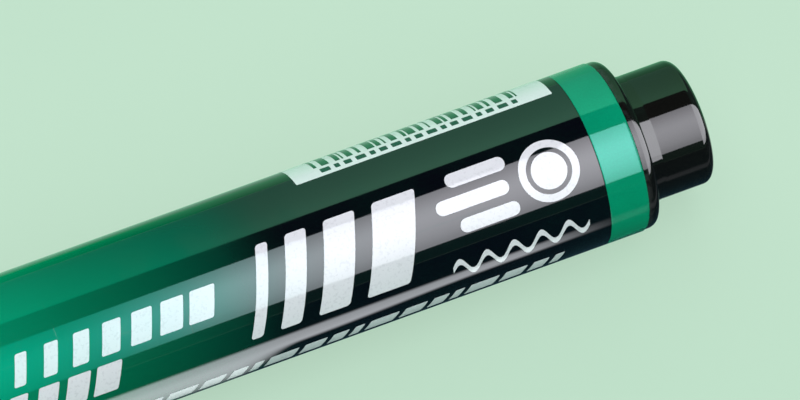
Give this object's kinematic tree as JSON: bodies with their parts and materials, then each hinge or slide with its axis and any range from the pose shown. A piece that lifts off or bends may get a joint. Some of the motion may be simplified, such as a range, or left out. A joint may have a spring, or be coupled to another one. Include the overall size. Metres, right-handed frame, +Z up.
{
  "type": "permanent marker",
  "caption": "Stout round permanent marker with a wrapped label, a colour ring, a stepped rear post and a fluted pull-off cap over a bullet nib.",
  "frame": {"origin": "on the table under the middle of the marker as it lies on its side with the cap on", "axes": "+X along the marker from the cap towards the rear post, +Z up"},
  "size_m": [0.138, 0.018, 0.018],
  "materials": {
    "barrel_black": "black moulded polypropylene, glossy",
    "label_print": "glossy printed film, black at the rear fading to green at the front, with pale print",
    "ring_green": "green moulded plastic, glossy",
    "plug_black": "black moulded plastic, glossy",
    "holder_black": "black moulded plastic, satin",
    "nib_fibre": "pressed fibre soaked with green ink",
    "core_fibre": "bundled fibre soaked with green ink",
    "core_film": "thin translucent film",
    "cap_green": "green moulded plastic, glossy",
    "inner_cap_natural": "natural polyethylene, satin"
  },
  "bodies": {
    "marker": {"barrel": "barrel_black", "label_film": "label_print", "colour_ring": "ring_green", "end_plug": "plug_black", "nib_holder": "holder_black", "nib": "nib_fibre", "ink_reservoir": "core_fibre", "reservoir_sleeve": "core_film"},
    "cap": {"cap_shell": "cap_green", "inner_cap": "inner_cap_natural"}
  },
  "joints": [
    {"name": "cap_pull", "type": "slide", "parent": "marker", "child": "cap", "axis": [-1, 0, 0], "range_m": [0, 0.05]}
  ]
}
